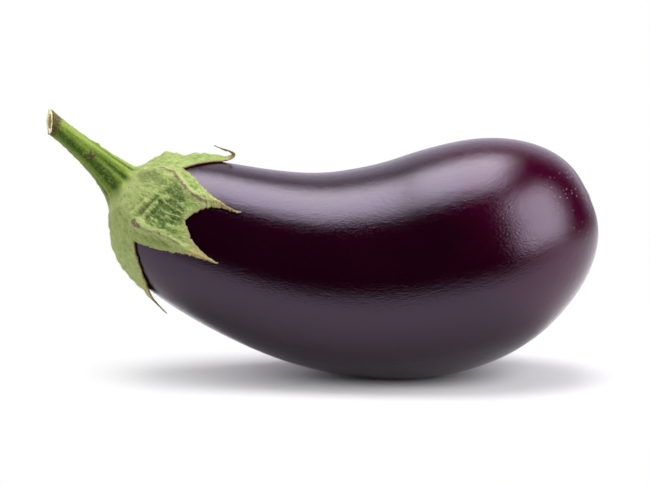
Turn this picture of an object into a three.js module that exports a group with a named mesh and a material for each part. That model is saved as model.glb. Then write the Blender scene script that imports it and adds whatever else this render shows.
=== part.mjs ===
// Eggplant, as picked and lying on its belly: the bent fruit, the green calyx whose six sepals
// clasp the stem end, and the ribbed stem, cut off short at a slant.
// Millimetres. +Z is up and +X points to the blossom end. The origin is the middle of the small
// flat spot on the belly that the fruit rests on.
import * as THREE from "three";

// Fruit: centre line and girth at equal steps from the stem end to the blossom end. The girth is
// the half thickness that the fruit would have at that step if its two ends were not rounded.
const SPINE_X = [-112, -89.5, -55, -22.5, 12, 43, 77.5];
const SPINE_Z = [77.5, 62.5, 49.1, 43.3, 46.6, 60, 76.4];
const GIRTH = [48, 40, 39.1, 42.3, 48.6, 56, 63];
const BLOSSOM_DIMPLE_DEPTH = 1.6;
const BLOSSOM_DIMPLE_WIDTH = 13;
const FRUIT_STEPS_ALONG = 46;
const FRUIT_STEPS_AROUND = 60;

// Clear gap left where two pieces grow against each other.
const GAP = 0.35;

// Calyx: a thick crown under the stem, a cup that hugs the fruit, and six sepals. A place on it
// is a distance over the skin from the stem end, and an angle round the fruit: 0 on top, 90 on
// the near side (-Y), 180 below.
const CROWN_HEIGHT = 2.3;
const CROWN_EDGE = 10;
const COLLAR_THICKNESS = 4;
const COLLAR_END = 18;
const SEPAL_THICKNESS = 0.8;
const RIB_ROOT_SPREAD = 7;
const RIB_TURN_LENGTH = 30;
const TIP_HALF_ANGLE = 1.6;
// How sharp the midrib's crest is, how much of the sepal's end it leaves bare, and how much of the
// sepal the cup's own swelling fades over.
const CREST_SHARPNESS = 1.4;
const BARE_TIP_SHARE = 0.45;
const CUP_FADE_SHARE = 0.2;
const CROWN_RINGS = 3;
const CUP_RINGS = 6;
const SEPAL_ROWS = 13;
const SEPAL_COLUMNS = 8;
const TOP_SIDE = 1;
const UNDERSIDE = 0;

// The cuts between the sepals, as angle and distance.
const NOTCHES = [
  { angle: -34, reach: 31 },
  { angle: 28, reach: 29 },
  { angle: 76, reach: 42.5 },
  { angle: 118, reach: 29 },
  { angle: 202, reach: 33 },
  { angle: 266, reach: 30 },
];

// Each sepal lies between its own notch and the next. reach and lift give its middle line at equal
// steps from the cup to the tip: distance over the skin, and height of the underside. before and
// after say how soon its two edges draw in to the tip, and rib is the height of its midrib.
const SEPALS = [
  {
    tip: -6, root: -12, rib: 1.3, before: 2.5, after: 2.5,
    reach: [30, 36, 42, 48, 53, 49.5, 42], lift: [0.35, 0.4, 0.4, 0.35, 1.9, 4.2, 6],
  },
  {
    tip: 56, root: 40, rib: 1.3, before: 2.2, after: 3.4,
    reach: [36, 43, 50, 57, 63.5], lift: [0.35, 0.35, 0.35, 0.35, 0.6],
  },
  {
    tip: 94, root: 104, rib: 1.2, before: 2.1, after: 2.4,
    reach: [36, 43, 50, 56.5, 62], lift: [0.35, 0.35, 0.35, 0.35, 0.5],
  },
  {
    tip: 165, root: 165, rib: 0.4, before: 1.6, after: 2,
    reach: [31, 36, 41, 45, 49.5, 54], lift: [0.35, 0.35, 0.5, 1.2, 2.4, 3.2],
  },
  {
    tip: 236, root: 234, rib: 0.9, before: 2, after: 2.2,
    reach: [31, 38, 45, 52, 57], lift: [0.35, 0.35, 0.4, 1.1, 2.8],
  },
  {
    tip: 298, root: 296, rib: 1.1, before: 2.2, after: 2,
    reach: [31, 39, 47, 54, 60], lift: [0.35, 0.35, 0.35, 0.35, 0.5],
  },
];

// Fleshy shoulders on the cup, each a smooth swelling.
const SHOULDERS = [
  { angle: -11, reach: 20, height: 2.1, spread: 24, length: 5 },
  { angle: 40, reach: 20, height: 1.8, spread: 11, length: 7 },
  { angle: 96, reach: 17, height: 0.8, spread: 22, length: 5 },
  { angle: 262, reach: 18, height: 1.2, spread: 26, length: 6 },
];

// Stem: centre line and radius at equal steps from the crown to the cut, with long ribs that
// fade out towards the cut.
const STEM_X = [-121.6, -129, -137, -143.2];
const STEM_Y = [-1, -2.2, -3.6, -4.8];
const STEM_Z = [86.8, 93.7, 100.8, 106.2];
const STEM_RADIUS = [8.8, 6.3, 5, 4.2, 4.3];
const STEM_RIBS = 8;
const STEM_RIB_HEIGHT = 0.55;
const STEM_STEPS_ALONG = 18;
const STEM_STEPS_AROUND = 48;
// The ribs' height falls with this power of the way left to the cut, and the last rings lean from
// this share of the stem on.
const RIB_FADE_POWER = 0.8;
const CUT_LEAN_START = 0.55;
const CUT_FACE = new THREE.Vector3(-0.92, -0.36, 0.1).normalize();

// A small step for slopes.
const SMALL = 1e-4;

const degrees = (angle) => THREE.MathUtils.degToRad(angle);
const clamp01 = (value) => THREE.MathUtils.clamp(value, 0, 1);
const smoothstep = (value) => THREE.MathUtils.smoothstep(value, 0, 1);
const mix = (a, b, share) => a + (b - a) * share;

// Natural cubic spline through equally spaced values, as a function of t from 0 to 1.
function smoothThrough(values) {
  const last = values.length - 1;
  const bend = new Array(last + 1).fill(0);
  const carry = new Array(last + 1).fill(0);
  for (let i = 1; i < last; i++) {
    const pivot = 4 - carry[i - 1];
    carry[i] = 1 / pivot;
    bend[i] = (6 * (values[i + 1] - 2 * values[i] + values[i - 1]) - bend[i - 1]) / pivot;
  }
  for (let i = last - 1; i > 0; i--) {
    bend[i] -= carry[i] * bend[i + 1];
  }
  return (t) => {
    const place = t * last;
    const i = THREE.MathUtils.clamp(Math.floor(place), 0, last - 1);
    const b = place - i;
    const a = 1 - b;
    const curve = (a ** 3 - a) * bend[i] + (b ** 3 - b) * bend[i + 1];
    return a * values[i] + b * values[i + 1] + curve / 6;
  };
}

const spineX = smoothThrough(SPINE_X);
const spineZ = smoothThrough(SPINE_Z);
const girth = smoothThrough(GIRTH);

// The fruit is a sphere whose axis is bent along the centre line and whose girth changes along
// it. along runs from 0 at the stem end to 1 at the blossom end, around from 0 on top.
function fruitPoint(along, around) {
  const t = (1 - Math.cos(Math.PI * along)) / 2;
  const forward = new THREE.Vector3(
    spineX(t + SMALL) - spineX(t - SMALL), 0, spineZ(t + SMALL) - spineZ(t - SMALL),
  ).normalize();
  const radius = girth(t) * Math.sin(Math.PI * along);
  const dent = Math.exp(-((radius / BLOSSOM_DIMPLE_WIDTH) ** 2));
  const dimple = t > 0.5 ? BLOSSOM_DIMPLE_DEPTH * dent : 0;
  const upward = new THREE.Vector3(-forward.z, 0, forward.x);
  return new THREE.Vector3(spineX(t), -radius * Math.sin(around), spineZ(t))
    .addScaledVector(upward, radius * Math.cos(around))
    .addScaledVector(forward, -dimple);
}

function fruitNormal(along, around) {
  const u = THREE.MathUtils.clamp(along, 2 * SMALL, 1 - 2 * SMALL);
  const lengthwise = fruitPoint(u + SMALL, around).sub(fruitPoint(u - SMALL, around));
  const crosswise = fruitPoint(u, around + SMALL).sub(fruitPoint(u, around - SMALL));
  return crosswise.cross(lengthwise).normalize();
}

// Distance over the skin from the stem end, measured down the near side.
const SKIN_STEPS = 600;
const skinDistance = [0];
for (let i = 1; i <= SKIN_STEPS; i++) {
  const here = fruitPoint(i / SKIN_STEPS, Math.PI / 2);
  const last = fruitPoint((i - 1) / SKIN_STEPS, Math.PI / 2);
  skinDistance.push(skinDistance[i - 1] + here.distanceTo(last));
}

function alongAt(distance) {
  const i = Math.max(1, skinDistance.findIndex((reached) => reached >= distance));
  const share = (distance - skinDistance[i - 1]) / (skinDistance[i] - skinDistance[i - 1]);
  return (i - 1 + share) / SKIN_STEPS;
}

// A point at a distance over the skin, an angle in degrees, and a height above the skin.
function overSkin(distance, angle, height) {
  const along = alongAt(distance);
  const around = degrees(angle);
  return fruitPoint(along, around).addScaledVector(fruitNormal(along, around), height);
}

// Collects points and triangles of one closed body.
function newBody() {
  const points = [];
  const faces = [];
  return {
    add(point) {
      points.push(point);
      return points.length - 1;
    },
    // A strip between two rows of points, seen from outside with `upper` on the left of `lower`.
    strip(lower, upper) {
      for (let i = 0; i + 1 < lower.length; i++) {
        faces.push([lower[i], upper[i + 1], lower[i + 1]], [lower[i], upper[i], upper[i + 1]]);
      }
    },
    fan(tip, row) {
      for (let i = 0; i + 1 < row.length; i++) {
        faces.push([tip, row[i + 1], row[i]]);
      }
    },
    geometry() {
      const flat = points.flatMap((point) => point.toArray());
      const shape = new THREE.BufferGeometry();
      shape.setAttribute("position", new THREE.Float32BufferAttribute(flat, 3));
      shape.setIndex(faces.flat());
      shape.computeVertexNormals();
      return shape;
    },
  };
}

const closed = (row) => [...row, row[0]];

function fruitMesh() {
  const body = newBody();
  const rows = [];
  for (let i = 1; i < FRUIT_STEPS_ALONG; i++) {
    const row = [];
    for (let j = 0; j < FRUIT_STEPS_AROUND; j++) {
      const point = fruitPoint(i / FRUIT_STEPS_ALONG, (2 * Math.PI * j) / FRUIT_STEPS_AROUND);
      point.z = Math.max(point.z, 0);
      row.push(body.add(point));
    }
    rows.push(closed(row));
  }
  body.fan(body.add(fruitPoint(0, 0)), rows[0]);
  for (let i = 0; i + 1 < rows.length; i++) {
    body.strip(rows[i + 1], rows[i]);
  }
  body.fan(body.add(fruitPoint(1, 0)), [...rows.at(-1)].reverse());
  const skin = new THREE.MeshStandardMaterial({ color: "#2a0c1d", roughness: 0.25, metalness: 0 });
  const mesh = new THREE.Mesh(body.geometry(), skin);
  mesh.name = "fruit";
  return mesh;
}

// Where the stem joins the fruit, and the way that it leaves.
const stemEnd = fruitPoint(0, 0);
const stemWay = fruitNormal(0, 0);

// Each sepal with the notches on both its sides, angles growing round the stem.
const LEAVES = SEPALS.map((sepal, index) => {
  const from = NOTCHES[index];
  const next = NOTCHES[(index + 1) % NOTCHES.length];
  const fullTurn = next.angle < from.angle ? 360 : 0;
  return {
    ...sepal,
    from,
    to: { angle: next.angle + fullTurn, reach: next.reach },
    reachAt: smoothThrough(sepal.reach),
    liftAt: smoothThrough(sepal.lift),
  };
});

// Height of the calyx above the skin on its cup: a thick collar that thins outwards, the fleshy
// shoulders, and the root of the sepal's midrib.
function cupHeight(distance, angle, leaf) {
  const collar = 1 - smoothstep((distance - CROWN_EDGE) / (COLLAR_END - CROWN_EDGE));
  let height = GAP + SEPAL_THICKNESS + (COLLAR_THICKNESS - SEPAL_THICKNESS) * collar;
  for (const shoulder of SHOULDERS) {
    const turn = THREE.MathUtils.euclideanModulo(angle - shoulder.angle + 180, 360) - 180;
    const away = (turn / shoulder.spread) ** 2 + ((distance - shoulder.reach) / shoulder.length) ** 2;
    height += shoulder.height * Math.exp(-away);
  }
  const middle = mix(leaf.root, leaf.tip, smoothstep((distance - CROWN_EDGE) / RIB_TURN_LENGTH));
  const rib = leaf.rib * Math.exp(-(((angle - middle) / RIB_ROOT_SPREAD) ** 2));
  return height + rib * (1 - collar);
}

// The crown is the flat top of the cup, square to the stem.
function crownPoint(distance, angle) {
  const point = overSkin(distance, angle, 0);
  const height = point.clone().sub(stemEnd).dot(stemWay);
  return point.addScaledVector(stemWay, CROWN_HEIGHT - height);
}

// A place on a sepal: share runs across it from edge to edge, and out from the cup (0) to the tip
// (1). The edges draw in from the notches to a narrow tip. The thickness stands square to the
// sepal's middle line, so that a curled tip keeps it.
function sepalPoint(leaf, share, out, side) {
  const first = mix(leaf.tip - TIP_HALF_ANGLE, leaf.from.angle, (1 - out) ** leaf.before);
  const second = mix(leaf.tip + TIP_HALF_ANGLE, leaf.to.angle, (1 - out) ** leaf.after);
  const angle = mix(first, second, share);
  const skew = (mix(leaf.from.reach, leaf.to.reach, share) - leaf.reach[0]) * (1 - out) ** 2;
  const distance = leaf.reachAt(out) + skew;
  const height = Math.max(leaf.liftAt(out), GAP);
  const outwards = leaf.reachAt(out + SMALL) - leaf.reachAt(out - SMALL);
  const upwards = leaf.liftAt(out + SMALL) - leaf.liftAt(out - SMALL);
  const slope = Math.hypot(outwards, upwards);
  const crest = (1 - Math.abs(2 * share - 1)) ** CREST_SHARPNESS * clamp01((1 - out) / BARE_TIP_SHARE);
  const root = cupHeight(distance, angle, leaf) - GAP - SEPAL_THICKNESS;
  const relief = mix(root, leaf.rib * crest, smoothstep(out / CUP_FADE_SHARE));
  const thickness = side * (SEPAL_THICKNESS + relief);
  return overSkin(distance - (thickness * upwards) / slope, angle, height + (thickness * outwards) / slope);
}

// A place on the cup: ring 0 is the middle of the crown and the last ring runs through the notches.
function cupPoint(leaf, share, ring, side) {
  if (ring === CROWN_RINGS + CUP_RINGS) {
    return sepalPoint(leaf, share, 0, side);
  }
  const angle = mix(leaf.from.angle, leaf.to.angle, share);
  const edge = mix(leaf.from.reach, leaf.to.reach, share);
  const onCrown = ring <= CROWN_RINGS;
  const distance = onCrown
    ? (CROWN_EDGE * ring) / CROWN_RINGS
    : mix(CROWN_EDGE, edge, (ring - CROWN_RINGS) / CUP_RINGS);
  if (side === UNDERSIDE) {
    return overSkin(distance, angle, GAP);
  }
  return onCrown ? crownPoint(distance, angle) : overSkin(distance, angle, cupHeight(distance, angle, leaf));
}

function calyxMesh() {
  const body = newBody();
  const shares = Array.from({ length: SEPAL_COLUMNS + 1 }, (_, column) => column / SEPAL_COLUMNS);
  const cupRings = (side) =>
    Array.from({ length: CROWN_RINGS + CUP_RINGS }, (_, ring) =>
      closed(
        LEAVES.flatMap((leaf) =>
          shares.slice(0, -1).map((share) => body.add(cupPoint(leaf, share, ring + 1, side))),
        ),
      ),
    );
  const top = cupRings(TOP_SIDE);
  const under = cupRings(UNDERSIDE);
  body.fan(body.add(crownPoint(0, 0)), top[0]);
  body.fan(body.add(overSkin(0, 0, GAP)), [...under[0]].reverse());
  for (let ring = 0; ring + 1 < top.length; ring++) {
    body.strip(top[ring + 1], top[ring]);
    body.strip(under[ring], under[ring + 1]);
  }
  LEAVES.forEach((leaf, index) => {
    const from = index * SEPAL_COLUMNS;
    const leafRows = (rings, side) => {
      const rows = [rings.at(-1).slice(from, from + SEPAL_COLUMNS + 1)];
      for (let row = 1; row <= SEPAL_ROWS; row++) {
        rows.push(shares.map((share) => body.add(sepalPoint(leaf, share, row / SEPAL_ROWS, side))));
      }
      return rows;
    };
    const upper = leafRows(top, TOP_SIDE);
    const lower = leafRows(under, UNDERSIDE);
    for (let row = 0; row < SEPAL_ROWS; row++) {
      body.strip(upper[row + 1], upper[row]);
      body.strip(lower[row], lower[row + 1]);
    }
    body.strip(lower.map((row) => row[0]), upper.map((row) => row[0]));
    body.strip(upper.map((row) => row.at(-1)), lower.map((row) => row.at(-1)));
    body.strip(lower.at(-1), upper.at(-1));
  });
  const leafGreen = new THREE.MeshStandardMaterial({ color: "#6f8b44", roughness: 0.8, metalness: 0 });
  const mesh = new THREE.Mesh(body.geometry(), leafGreen);
  mesh.name = "calyx";
  return mesh;
}

// The stem is a stack of ribbed rings square to its centre line, and the last rings lean over
// until the end lies in the slanted face of the cut.
function stemMesh() {
  const foot = stemEnd.clone().addScaledVector(stemWay, CROWN_HEIGHT + GAP);
  const lineX = smoothThrough([foot.x, ...STEM_X]);
  const lineY = smoothThrough([foot.y, ...STEM_Y]);
  const lineZ = smoothThrough([foot.z, ...STEM_Z]);
  const line = (t) => new THREE.Vector3(lineX(t), lineY(t), lineZ(t));
  const radiusAt = smoothThrough(STEM_RADIUS);
  const body = newBody();
  const rings = [];
  for (let i = 0; i <= STEM_STEPS_ALONG; i++) {
    const t = i / STEM_STEPS_ALONG;
    const forward = i === 0 ? stemWay.clone() : line(t + SMALL).sub(line(t - SMALL)).normalize();
    const upward = new THREE.Vector3(0, 0, 1).addScaledVector(forward, -forward.z).normalize();
    const sideways = upward.clone().cross(forward);
    const ring = [];
    for (let j = 0; j < STEM_STEPS_AROUND; j++) {
      const around = (2 * Math.PI * j) / STEM_STEPS_AROUND;
      const rib = STEM_RIB_HEIGHT * Math.cos(STEM_RIBS * around) * (1 - t) ** RIB_FADE_POWER;
      const radius = radiusAt(t) + rib;
      const spoke = new THREE.Vector3()
        .addScaledVector(upward, radius * Math.cos(around))
        .addScaledVector(sideways, radius * Math.sin(around));
      const slant = -spoke.dot(CUT_FACE) / forward.dot(CUT_FACE);
      const lean = slant * clamp01((t - CUT_LEAN_START) / (1 - CUT_LEAN_START));
      ring.push(body.add(line(t).add(spoke).addScaledVector(forward, lean)));
    }
    rings.push(closed(ring));
  }
  body.fan(body.add(line(0)), [...rings[0]].reverse());
  for (let i = 0; i + 1 < rings.length; i++) {
    body.strip(rings[i], rings[i + 1]);
  }
  body.fan(body.add(line(1)), rings.at(-1));
  const bark = new THREE.MeshStandardMaterial({ color: "#7c9340", roughness: 0.6, metalness: 0 });
  const mesh = new THREE.Mesh(body.geometry(), bark);
  mesh.name = "stem";
  return mesh;
}

const eggplant = new THREE.Group();
eggplant.add(fruitMesh(), calyxMesh(), stemMesh());

export default eggplant;
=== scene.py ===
import bmesh
import bpy
import numpy as np
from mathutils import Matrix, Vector


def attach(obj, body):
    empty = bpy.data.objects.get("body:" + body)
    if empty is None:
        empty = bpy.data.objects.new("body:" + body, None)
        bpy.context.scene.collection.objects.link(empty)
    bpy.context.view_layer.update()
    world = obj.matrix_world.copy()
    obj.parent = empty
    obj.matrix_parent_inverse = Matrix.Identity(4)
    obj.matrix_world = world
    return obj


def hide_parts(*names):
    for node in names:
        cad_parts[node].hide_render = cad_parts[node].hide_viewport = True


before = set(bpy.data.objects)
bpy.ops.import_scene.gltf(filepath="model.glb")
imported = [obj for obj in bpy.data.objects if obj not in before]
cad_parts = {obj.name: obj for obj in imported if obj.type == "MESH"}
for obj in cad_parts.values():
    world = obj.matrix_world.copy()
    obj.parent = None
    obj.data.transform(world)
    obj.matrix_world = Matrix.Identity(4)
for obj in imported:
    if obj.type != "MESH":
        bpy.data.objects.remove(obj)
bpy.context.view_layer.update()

# Fruit: one solid of spongy flesh in a tough, waxy skin of dark purple, grown in one piece on
# a bent line. It lies on the small flat spot of its belly, and a dry scar at the blossom end
# shows where the flower fell off.
SPINE_X = [-0.112, -0.0895, -0.055, -0.0225, 0.012, 0.043, 0.0775]
SPINE_Z = [0.0775, 0.0625, 0.0491, 0.0433, 0.0466, 0.060, 0.0764]
GIRTH = [0.048, 0.040, 0.0391, 0.0423, 0.0486, 0.056, 0.063]
BLOSSOM_DIMPLE_DEPTH = 0.0016
BLOSSOM_DIMPLE_WIDTH = 0.013
BLOSSOM_SCAR_RADIUS = 0.0021
BLOSSOM_SCAR_HEIGHT = 0.00015
SCAR_CRACKS = 7
SCAR_CRACK_SHARE = 0.35
FRUIT_LENGTH = 0.2
FRUIT_STEPS_ALONG = 300
FRUIT_STEPS_AROUND = 220
SMALL = 1e-4
MIDNIGHT_PURPLE = (0.0080, 0.0001, 0.0032, 1)
WINE_PURPLE = (0.026, 0.0002, 0.0080, 1)
SCAR_BROWN = (0.11, 0.06, 0.035, 1)
PALE_FLECK = (0.72, 0.53, 0.54, 1)
WAX_TINT = (0.88, 0.74, 1, 1)


def smooth_through(values):
    """A natural cubic spline through equally spaced values, as a function of t from 0 to 1: its
    second slopes are 0 at both ends and agree at every value between."""
    values = np.asarray(values, float)
    last = len(values) - 1
    bend = np.zeros(last + 1)
    pull = 4 * np.eye(last - 1) + np.eye(last - 1, k=1) + np.eye(last - 1, k=-1)
    bend[1:-1] = np.linalg.solve(pull, 6 * (values[2:] - 2 * values[1:-1] + values[:-2]))

    def at(t):
        place = np.asarray(t, float) * last
        i = np.clip(np.floor(place).astype(int), 0, last - 1)
        b = place - i
        a = 1 - b
        curve = (a**3 - a) * bend[i] + (b**3 - b) * bend[i + 1]
        return a * values[i] + b * values[i + 1] + curve / 6

    return at


def smoothstep(value):
    """3 v^2 - 2 v^3 of a value held between 0 and 1."""
    v = np.clip(value, 0, 1)
    return v * v * (3 - 2 * v)


spine_x = smooth_through(SPINE_X)
spine_z = smooth_through(SPINE_Z)
girth = smooth_through(GIRTH)


def fruit_point(along, around):
    """A sphere whose axis is bent along the centre line and whose girth changes along it. along
    runs from 0 at the stem end to 1 at the blossom end, around from 0 on top to a full turn.
    Each ring has the radius girth * sin(pi * along) and stands square to the centre line. Near
    the blossom end the skin sinks in by a bell curve of that radius."""
    t = (1 - np.cos(np.pi * along)) / 2
    forward_x = spine_x(t + SMALL) - spine_x(t - SMALL)
    forward_z = spine_z(t + SMALL) - spine_z(t - SMALL)
    length = np.hypot(forward_x, forward_z)
    forward_x, forward_z = forward_x / length, forward_z / length
    radius = girth(t) * np.sin(np.pi * along)
    dent = BLOSSOM_DIMPLE_DEPTH * np.exp(-((radius / BLOSSOM_DIMPLE_WIDTH) ** 2)) * (t > 0.5)
    x = spine_x(t) - forward_z * radius * np.cos(around) - forward_x * dent
    y = -radius * np.sin(around)
    z = spine_z(t) + forward_x * radius * np.cos(around) - forward_z * dent
    return np.stack(np.broadcast_arrays(x, y, z), axis=-1)


def fruit_normal(along, around):
    """The cross product of the skin's slopes across and along, made one long."""
    u = np.clip(along, 2 * SMALL, 1 - 2 * SMALL)
    lengthwise = fruit_point(u + SMALL, around) - fruit_point(u - SMALL, around)
    crosswise = fruit_point(u, around + SMALL) - fruit_point(u, around - SMALL)
    outward = np.cross(crosswise, lengthwise)
    return outward / np.linalg.norm(outward, axis=-1, keepdims=True)


def grid_quads(index):
    """The quads between neighbours of a grid of point numbers."""
    corners = [index[:-1, :-1], index[:-1, 1:], index[1:, 1:], index[1:, :-1]]
    return np.stack(corners, axis=-1).reshape(-1, 4)


def new_mesh(name, points, quads, masks):
    """A closed mesh of quads. Points in one place are merged, so that seams and poles close, and
    the faces are turned outwards. masks holds a number or a vector for each point."""
    mesh = bpy.data.meshes.new(name)
    mesh.from_pydata(points.reshape(-1, 3).tolist(), [], quads.tolist())
    for mask, values in masks.items():
        one_each = values.size == len(mesh.vertices)
        kind, field = ("FLOAT", "value") if one_each else ("FLOAT_VECTOR", "vector")
        stored = mesh.attributes.new(mask, kind, "POINT")
        stored.data.foreach_set(field, values.astype(np.float32).ravel())
    solid = bmesh.new()
    solid.from_mesh(mesh)
    bmesh.ops.remove_doubles(solid, verts=solid.verts, dist=1e-7)
    bmesh.ops.recalc_face_normals(solid, faces=solid.faces)
    solid.to_mesh(mesh)
    solid.free()
    mesh.shade_smooth()
    return mesh


def new_piece(mesh, material, slot, *nodes):
    """An object at the origin that rides on the one body and stands for CAD nodes."""
    mesh.materials.append(material)
    piece = bpy.data.objects.new(mesh.name, mesh)
    bpy.context.collection.objects.link(piece)
    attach(piece, "root")
    if nodes:
        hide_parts(*nodes)


def new_material(name):
    """A material with its node tree and its Principled shader."""
    material = bpy.data.materials.new(name)
    material.use_nodes = True
    return material, material.node_tree, material.node_tree.nodes["Principled BSDF"]


def put(tree, kind, inputs=None, **settings):
    """A new node in a tree, with its settings. Each input is a value or another node's output."""
    node = tree.nodes.new(kind)
    for name, value in settings.items():
        setattr(node, name, value)
    for name, value in (inputs or {}).items():
        if isinstance(value, bpy.types.NodeSocket):
            tree.links.new(value, node.inputs[name])
        else:
            node.inputs[name].default_value = value
    return node


def blend_colour(tree, share, first, second):
    """The output of a node that mixes two colours by a share."""
    node = put(tree, "ShaderNodeMix", data_type="RGBA", inputs={0: share, 6: first, 7: second})
    return node.outputs[2]


def mask_of(tree, name):
    """A mask that is stored on the mesh's points."""
    return put(tree, "ShaderNodeAttribute", attribute_name=name).outputs["Fac"]


def grain_of(tree):
    """Places along and round the piece, in metres, stored on the mesh's points."""
    return put(tree, "ShaderNodeAttribute", attribute_name="grain").outputs["Vector"]


def noise(tree, place, per_metre, detail, roughness=0.5):
    """Soft lumps between 0 and 1, about so many to a metre."""
    inputs = {"Vector": place, "Scale": per_metre, "Detail": detail, "Roughness": roughness}
    return put(tree, "ShaderNodeTexNoise", inputs).outputs["Fac"]


def ramp_up(tree, value, low, high):
    """0 up to low, 1 from high on, and smooth between."""
    inputs = {"Value": value, "From Min": low, "From Max": high}
    return put(tree, "ShaderNodeMapRange", inputs, interpolation_type="SMOOTHSTEP").outputs["Result"]


def product(tree, first, second):
    """The product of two values."""
    return put(tree, "ShaderNodeMath", {0: first, 1: second}, operation="MULTIPLY").outputs[0]


def part_and(tree, value, part, other):
    """value * part + other."""
    return put(tree, "ShaderNodeMath", {0: value, 1: part, 2: other}, operation="MULTIPLY_ADD").outputs[0]


def bumpy(tree, height, distance, strength):
    """The surface's normal, tilted by a height."""
    inputs = {"Height": height, "Distance": distance, "Strength": strength}
    return put(tree, "ShaderNodeBump", inputs).outputs["Normal"]


def stretch(tree, place, scale):
    """A place scaled along its three axes."""
    return put(tree, "ShaderNodeVectorMath", {0: place, 1: scale}, operation="MULTIPLY").outputs[0]


# Flecks are on all three pieces: small round spots, at most one in each cell of a lattice.
flecks = bpy.data.node_groups.new("flecks", "ShaderNodeTree")
flecks.interface.new_socket("Place", in_out="INPUT", socket_type="NodeSocketVector")
flecks.interface.new_socket("Per Metre", in_out="INPUT", socket_type="NodeSocketFloat")
flecks.interface.new_socket("Radius", in_out="INPUT", socket_type="NodeSocketFloat")
flecks.interface.new_socket("Share", in_out="INPUT", socket_type="NodeSocketFloat")
flecks.interface.new_socket("Mask", in_out="OUTPUT", socket_type="NodeSocketFloat")
inside = put(flecks, "NodeGroupInput").outputs
lattice = {"Vector": inside["Place"], "Scale": inside["Per Metre"]}
cells = put(flecks, "ShaderNodeTexVoronoi", lattice).outputs
spot = {0: cells["Distance"], 1: inside["Radius"]}
spot = put(flecks, "ShaderNodeMath", spot, operation="DIVIDE").outputs[0]
disc = {"Value": spot, "From Min": 1.0, "From Max": 0.4}
disc = put(flecks, "ShaderNodeMapRange", disc).outputs["Result"]
lot = put(flecks, "ShaderNodeSeparateColor", {"Color": cells["Color"]}).outputs["Red"]
kept = put(flecks, "ShaderNodeMath", {0: lot, 1: inside["Share"]}, operation="LESS_THAN").outputs[0]
put(flecks, "NodeGroupOutput", {"Mask": product(flecks, disc, kept)})


def fleck_mask(tree, place, per_metre, radius, share):
    """The mask of flecks in a material. The radius is in cells, and share is how many are kept."""
    inputs = {"Place": place, "Per Metre": per_metre, "Radius": radius, "Share": share}
    return put(tree, "ShaderNodeGroup", inputs, node_tree=flecks).outputs["Mask"]


along = np.linspace(0, 1, FRUIT_STEPS_ALONG + 1)[:, None]
around = np.linspace(0, 2 * np.pi, FRUIT_STEPS_AROUND + 1)[None, :]
skin_points = fruit_point(along, around)
ring_radius = girth((1 - np.cos(np.pi * along)) / 2) * np.sin(np.pi * along)
at_blossom = (along > 0.5) * smoothstep((BLOSSOM_SCAR_RADIUS - ring_radius) / BLOSSOM_SCAR_RADIUS + 0.35)
crack = SCAR_CRACK_SHARE * np.cos(SCAR_CRACKS * around) * at_blossom * (1 - at_blossom) * 4
scar_height = BLOSSOM_SCAR_HEIGHT * (at_blossom + crack)
skin_points = skin_points + fruit_normal(along, around) * scar_height[..., None]
skin_points[..., 2] = np.maximum(skin_points[..., 2], 0)
skin_grain = np.stack(np.broadcast_arrays(
    FRUIT_LENGTH * along, ring_radius * np.cos(around), ring_radius * np.sin(around)), axis=-1)
everywhere = np.ones_like(skin_points[..., 0])
numbers = np.arange(everywhere.size).reshape(everywhere.shape)
skin_mesh = new_mesh("fruit_skin", skin_points, grid_quads(numbers), {
    "grain": skin_grain,
    "along": along * everywhere,
    "scar": at_blossom * everywhere,
})

skin, tree, shader = new_material("eggplant_skin")
grain = grain_of(tree)
lengthwise = stretch(tree, grain, (0.8, 1, 1))
streaks = noise(tree, lengthwise, 1500.0, 3.0, 0.65)
ripples = noise(tree, lengthwise, 320.0, 3.0)
clouds = noise(tree, grain, 45.0, 2.0)
toward_blossom = ramp_up(tree, mask_of(tree, "along"), 0.60, 0.86)
wine_share = ramp_up(tree, part_and(tree, clouds, 0.7, toward_blossom), 0.3, 1.25)
colour = blend_colour(tree, wine_share, MIDNIGHT_PURPLE, WINE_PURPLE)
near_blossom = ramp_up(tree, mask_of(tree, "along"), 0.81, 0.89)
spots = product(tree, fleck_mask(tree, grain, 560.0, 0.13, 0.36), near_blossom)
colour = blend_colour(tree, spots, colour, PALE_FLECK)
scar_tone = ramp_up(tree, mask_of(tree, "scar"), 0.1, 0.6)
colour = blend_colour(tree, scar_tone, colour, SCAR_BROWN)
tree.links.new(colour, shader.inputs["Base Color"])
shine = put(tree, "ShaderNodeMapRange", {"Value": streaks, "To Min": 0.03, "To Max": 0.08})
hazy = part_and(tree, ripples, 0.04, shine.outputs["Result"])
tree.links.new(part_and(tree, scar_tone, 0.5, hazy), shader.inputs["Roughness"])
relief = part_and(tree, ripples, 0.6, streaks)
tree.links.new(bumpy(tree, relief, 0.00020, 0.6), shader.inputs["Normal"])
shader.inputs["Specular Tint"].default_value = WAX_TINT
new_piece(skin_mesh, skin, "skin", "fruit")

# Calyx: the green, felty cap of leaf that the flower leaves behind. A thick crown grows out of
# the stem, a cup hugs the fruit, and six pointed sepals lie on the skin, some with tips that
# have dried and curled off it. It is grown on, not fixed.
GAP = 0.00035
CROWN_HEIGHT = 0.0011
CROWN_EDGE = 0.010
COLLAR_THICKNESS = 0.0031
COLLAR_END = 0.018
THINNER_BELOW = 0.4
SEPAL_THICKNESS = 0.0008
RIB_ROOT_SPREAD = 7
RIB_TURN_LENGTH = 0.030
TIP_HALF_ANGLE = 0.6
CREST_SHARPNESS = 1.4
BARE_TIP_SHARE = 0.45
CUP_FADE_SHARE = 0.2
CUP_RADIUS = 0.030
RADIUS_AT_SEPALS = 0.0325
CROWN_FLAT = 0.0075
CROWN_BLEND = 0.004
COLLAR_RIBS = 8
COLLAR_RIB_HEIGHT = 0.00045
COLLAR_RIBS_AT = 0.0145
COLLAR_RIBS_LENGTH = 0.0030
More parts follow.
